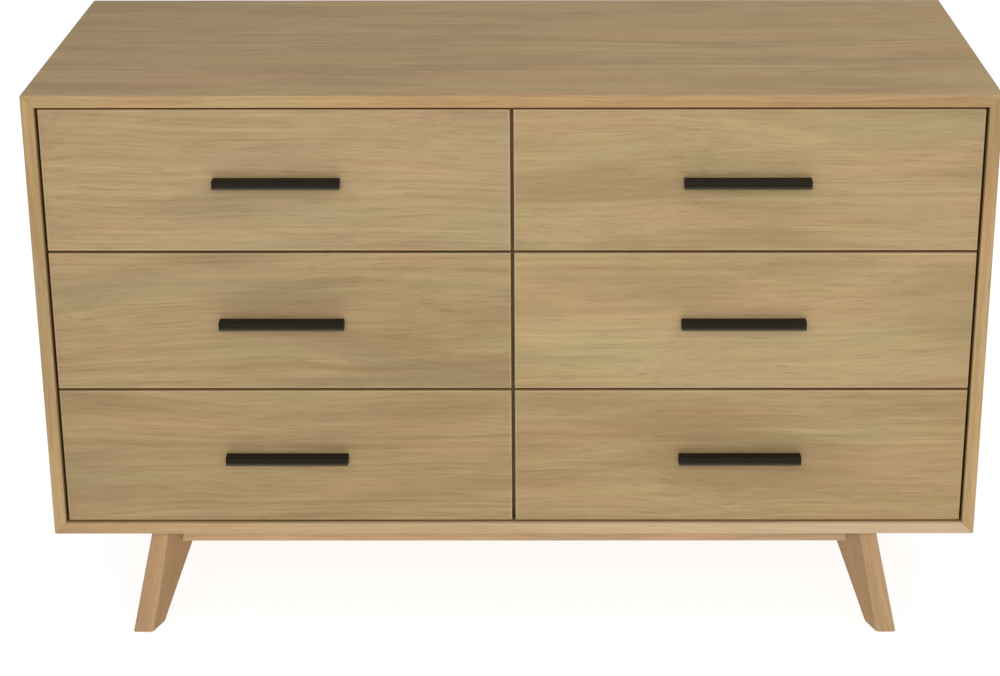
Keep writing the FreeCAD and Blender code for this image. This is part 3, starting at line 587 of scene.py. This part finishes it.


# Each pull is a strip of 2 mm steel folded to a flat top with a lip for the fingers. It is
# powder coated in a warm matt black, with a fine orange-peel skin. A grey is painted along the
# lip's lower edge: a painted highlight, where the edge catches the light from below.
LIP_HIGHLIGHT_BAND = 0.0045
LIP_ABOVE_FLANGE = 0.003
LIP_HIGHLIGHT_GREY, LIP_HIGHLIGHT_SHARE = "#5A553F", 0.75
powder_coat, tree, shader = new_material("black_powder_coated_steel", "#1A150B", 0.5, IOR=1.5,
                                         Specular_IOR_Level=0.15)
here = add(tree, "ShaderNodeTexCoord").outputs["Object"]
peel = add(tree, "ShaderNodeTexNoise", {"Vector": here, "Scale": 700.0, "Detail": 2.0})
dust = add(tree, "ShaderNodeTexNoise", {"Vector": here, "Scale": 60.0, "Detail": 4.0})
shade = add(tree, "ShaderNodeMix", {"Factor": dust, "A": linear("#181308"), "B": linear("#221C0F")},
            data_type="RGBA")
lowest_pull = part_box("drawer_bottom_left_pull")[0].z
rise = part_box("drawer_middle_left_pull")[0].z - lowest_pull
height = add(tree, "ShaderNodeSeparateXYZ", [here]).outputs["Z"]
height = add(tree, "ShaderNodeMath", [height, lowest_pull], operation="SUBTRACT")
height = add(tree, "ShaderNodeMath", [height, rise], operation="FLOORED_MODULO")
# painted highlight: the lowest millimetres of each pull, up the lip's lower edge, are mixed towards
# grey
lip_highlight = add(tree, "ShaderNodeMapRange", {
    "Value": height, "From Min": LIP_ABOVE_FLANGE, "From Max": LIP_ABOVE_FLANGE + LIP_HIGHLIGHT_BAND,
    "To Min": LIP_HIGHLIGHT_SHARE, "To Max": 0.0}, interpolation_type="SMOOTHSTEP")
shade = add(tree, "ShaderNodeMix", {"Factor": lip_highlight, "A": shade, "B": linear(LIP_HIGHLIGHT_GREY)},
            data_type="RGBA")
gloss = add(tree, "ShaderNodeMapRange", {"Value": dust, "To Min": 0.42, "To Max": 0.6})
bump = add(tree, "ShaderNodeBump", {"Strength": 0.25, "Distance": 0.0002, "Height": peel})
drive(tree, shader, Base_Color=shade, Roughness=gloss, Normal=bump)
for row, column in FRONTS:
    dress(f"drawer_{row}_{column}_pull", powder_coat)


# The slides are three rolled steel channels that run in each other, zinc plated. The zinc is
# bluish and bright, with faint rolling lines along the members.
zinc, tree, shader = new_material("zinc_plated_steel", "#B7B9BA", 0.36, Metallic=1.0)
here = add(tree, "ShaderNodeTexCoord").outputs["Object"]
rolled = add(tree, "ShaderNodeVectorMath", [here, (900.0, 6.0, 900.0)], operation="MULTIPLY")
lines = add(tree, "ShaderNodeTexNoise", {"Vector": rolled, "Scale": 1.0, "Detail": 2.0})
spangle = add(tree, "ShaderNodeTexNoise", {"Vector": here, "Scale": 90.0, "Detail": 3.0})
shade = add(tree, "ShaderNodeMix", {"Factor": spangle, "A": linear("#A2A5A7"),
                                    "B": linear("#C8C9C9")}, data_type="RGBA")
gloss = add(tree, "ShaderNodeMapRange", {"Value": lines, "To Min": 0.24, "To Max": 0.46})
bump = add(tree, "ShaderNodeBump", {"Strength": 0.12, "Distance": 0.0001, "Height": lines})
drive(tree, shader, Base_Color=shade, Roughness=gloss, Normal=bump)
dress("slide_outer_members", zinc)
for row, column in FRONTS:
    dress(f"drawer_{row}_{column}_slide_inner", zinc)
    dress(f"drawer_{row}_{column}_slide_middle", zinc)


# The screws are of zinc-plated steel with pan heads and cross recesses, driven in by machine.
# A carrier mesh holds one point for each screw, and the way that the screw is driven.
screw_steel, tree, shader = new_material("plated_screw_steel", "#A7A9AA", 0.36, Metallic=1.0)
here = add(tree, "ShaderNodeTexCoord").outputs["Object"]
handled = add(tree, "ShaderNodeTexNoise", {"Vector": here, "Scale": 420.0, "Detail": 3.0})
shade = add(tree, "ShaderNodeMix", {"Factor": handled, "A": linear("#8C8E8F"),
                                    "B": linear("#C2C3C2")}, data_type="RGBA")
gloss = add(tree, "ShaderNodeMapRange", {"Value": handled, "To Min": 0.26, "To Max": 0.5})
drive(tree, shader, Base_Color=shade, Roughness=gloss)
CROWN_SHARE, BLADE_SHARE = 0.62, 0.24


def screw_tree():
    """A node tree that puts a screw on each point of a carrier mesh."""
    tree = bpy.data.node_groups.new("screws_on_points", "GeometryNodeTree")
    sockets = {}
    tree.interface.new_socket("Carrier", in_out="INPUT", socket_type="NodeSocketGeometry")
    for name in ("Head Radius", "Head Height", "Shank Radius", "Reach", "Recess Depth"):
        sockets[name] = tree.interface.new_socket(name, in_out="INPUT",
                                                  socket_type="NodeSocketFloat")
    sockets["Finish"] = tree.interface.new_socket("Finish", in_out="INPUT",
                                                  socket_type="NodeSocketMaterial")
    tree.interface.new_socket("Screws", in_out="OUTPUT", socket_type="NodeSocketGeometry")
    given = add(tree, "NodeGroupInput").outputs
    radius, height, shank, reach, depth = (given[name] for name in (
        "Head Radius", "Head Height", "Shank Radius", "Reach", "Recess Depth"))
    crown = add(tree, "ShaderNodeMath", [radius, CROWN_SHARE], operation="MULTIPLY")
    head = add(tree, "GeometryNodeMeshCone", {"Vertices": 20, "Radius Top": crown,
                                              "Radius Bottom": radius, "Depth": height})
    # two crossed blades cut the recess, to twice its depth because half of each is in the air
    slot_wide = add(tree, "ShaderNodeMath", [radius, BLADE_SHARE], operation="MULTIPLY")
    slot_deep = add(tree, "ShaderNodeMath", [depth, 2.0], operation="MULTIPLY")
    blades = []
    for sizes in ([radius, slot_wide, slot_deep], [slot_wide, radius, slot_deep]):
        blade = add(tree, "GeometryNodeMeshCube",
                    {"Size": add(tree, "ShaderNodeCombineXYZ", sizes)})
        raised = add(tree, "ShaderNodeCombineXYZ", [0.0, 0.0, height])
        blades.append(add(tree, "GeometryNodeTransform",
                          {"Geometry": blade, "Translation": raised}))
    recessed = add(tree, "GeometryNodeMeshBoolean", {"Mesh 1": head, "Mesh 2": blades},
                   operation="DIFFERENCE")
    cross = add(tree, "ShaderNodeMath", [depth, 0.0], operation="GREATER_THAN")
    recessed = add(tree, "GeometryNodeSwitch", {"Switch": cross, "False": head, "True": recessed},
                   input_type="GEOMETRY")
    body = add(tree, "GeometryNodeMeshCylinder", {"Vertices": 12, "Radius": shank, "Depth": reach})
    sunk = add(tree, "ShaderNodeCombineXYZ", [0.0, 0.0, add(tree, "ShaderNodeMath", [reach, -0.5],
                                                            operation="MULTIPLY")])
    body = add(tree, "GeometryNodeTransform", {"Geometry": body, "Translation": sunk})
    whole = add(tree, "GeometryNodeJoinGeometry", {"Geometry": [recessed, body]})
    driven = add(tree, "GeometryNodeInputNamedAttribute", {"Name": "drive"},
                 data_type="FLOAT_VECTOR")
    back = add(tree, "ShaderNodeVectorMath", [driven, -1.0], operation="SCALE")
    upright = add(tree, "FunctionNodeAlignRotationToVector", {"Vector": back}, axis="Z")
    placed = add(tree, "GeometryNodeInstanceOnPoints", {
        "Points": given["Carrier"], "Instance": whole, "Rotation": upright})
    real = add(tree, "GeometryNodeRealizeInstances", {"Geometry": placed})
    done = add(tree, "GeometryNodeSetMaterial", {"Geometry": real, "Material": given["Finish"]})
    add(tree, "NodeGroupOutput", {"Screws": done})
    return tree, sockets


SCREWS, SCREW_INPUTS = screw_tree()


def screws(name, body, node, seats, sizes):
    """One mesh with a screw on each seat: a point under the head, and the way it is driven."""
    carrier = new_piece(name + "_seats", [point for point, _ in seats], [], screw_steel)
    ways = carrier.data.attributes.new("drive", "FLOAT_VECTOR", "POINT")
    ways.data.foreach_set("vector", [part for _, way in seats for part in way])
    modifier = carrier.modifiers.new("screws", "NODES")
    modifier.node_group = SCREWS
    for key, value in {**sizes, "Finish": screw_steel}.items():
        modifier[SCREW_INPUTS[key].identifier] = value
    depsgraph = bpy.context.evaluated_depsgraph_get()
    mesh = bpy.data.meshes.new_from_object(carrier.evaluated_get(depsgraph))
    bpy.data.objects.remove(carrier)
    piece = bpy.data.objects.new(name, mesh)
    bpy.context.scene.collection.objects.link(piece)
    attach(piece, body)
    if node:
        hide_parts(node)


BOX_WALL = 0.012
SLIDE_METAL = 0.0012
SLIDE_THICKNESS = 0.0127
PULL_SCREW_SPACING = 0.128
FRONT_SCREW_INSET = 0.050
FRONT_SCREW_LIFT = 0.032
SLIDE_SCREW_SHARES = (0.08, 0.46, 0.9)
DRAWER_SCREW = {"Head Radius": 0.004, "Head Height": 0.0024, "Shank Radius": 0.002, "Reach": 0.022,
                "Recess Depth": 0.0013}
SLIDE_SCREW = {"Head Radius": 0.0034, "Head Height": 0.0014, "Shank Radius": 0.0017, "Reach": 0.009,
               "Recess Depth": 0.0008}
LEG_BOLT = {"Head Radius": 0.008, "Head Height": 0.0045, "Shank Radius": 0.004, "Reach": 0.054,
            "Recess Depth": 0.0025}
FORWARDS = (0, -1, 0)
case_seats = []
for row, column in FRONTS:
    name = f"drawer_{row}_{column}"
    box_low, box_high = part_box(name + "_box")
    pull_low, pull_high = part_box(name + "_pull")
    slide_low, slide_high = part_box(name + "_slide_inner")
    inner_face = box_low.y + BOX_WALL
    box_middle = (box_low + box_high) / 2
    pull_middle = (pull_low + pull_high) / 2
    front_seats = []
    side_seats = []
    for side in (-1, 1):
        pull_seat = (pull_middle.x + side * PULL_SCREW_SPACING / 2, inner_face, pull_middle.z)
        front_seats.append((pull_seat, FORWARDS))
        x = box_middle.x + side * ((box_high.x - box_low.x) / 2 - FRONT_SCREW_INSET)
        for z in (box_low.z + FRONT_SCREW_LIFT, box_high.z - FRONT_SCREW_LIFT):
            front_seats.append(((x, inner_face, z), FORWARDS))
        wall = box_low.x if side < 0 else box_high.x
        for share in SLIDE_SCREW_SHARES:
            y = slide_low.y + share * (slide_high.y - slide_low.y)
            side_seats.append(((wall + side * SLIDE_METAL, y, box_middle.z), (-side, 0, 0)))
            case_x = wall + side * (SLIDE_THICKNESS - SLIDE_METAL)
            case_seats.append(((case_x, y, box_middle.z), (side, 0, 0)))
    screws(name + "_front_screws", name, name + "_screws", front_seats, DRAWER_SCREW)
    screws(name + "_side_screws", name, name + "_screws", side_seats, SLIDE_SCREW)
screws("case_slide_screws", "case", "slide_screws", case_seats, SLIDE_SCREW)

# Panel pins hold the back in its rabbets, a hand apart. Each has a thin round head with no
# recess, driven until it lies on the plywood.
PIN = {"Head Radius": 0.0024, "Head Height": 0.0003, "Shank Radius": 0.0007, "Reach": 0.020,
       "Recess Depth": 0.0}
PIN_SPACING = 0.12
PIN_INSET = 0.0045
back_low, back_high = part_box("back_panel")
pin_seats = []
for along, across in (("x", "z"), ("z", "x")):
    start = getattr(back_low, along) + PIN_INSET
    end = getattr(back_high, along) - PIN_INSET
    count = round((end - start) / PIN_SPACING)
    for step in range(count + 1 if along == "x" else count - 1):
        place = back_high.copy()
        offset = step if along == "x" else step + 1
        setattr(place, along, start + offset * (end - start) / count)
        for edge in (getattr(back_low, across) + PIN_INSET, getattr(back_high, across) - PIN_INSET):
            setattr(place, across, edge)
            pin_seats.append((tuple(place), FORWARDS))
screws("case_back_pins", "case", None, pin_seats, PIN)

# Two bolts hold each leg, from inside the case down through its bottom. The heads lie on it.
PANEL_THICKNESS = 0.016
LEG_BOLT_PLACES = ((0.137, 0.038), (0.154, 0.038))
bolt_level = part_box("bottom_panel")[0].z + PANEL_THICKNESS
bolt_seats = []
for inset, setback in LEG_BOLT_PLACES:
    for side in (-1, 1):
        x = side * (lipping_high.x - inset)
        y = lipping_low.y + setback
        bolt_seats += [((x, y, bolt_level), (0, 0, -1)),
                       ((x, 2 * case_middle_y - y, bolt_level), (0, 0, -1))]
screws("case_leg_bolts", "case", "leg_bolts", bolt_seats, LEG_BOLT)
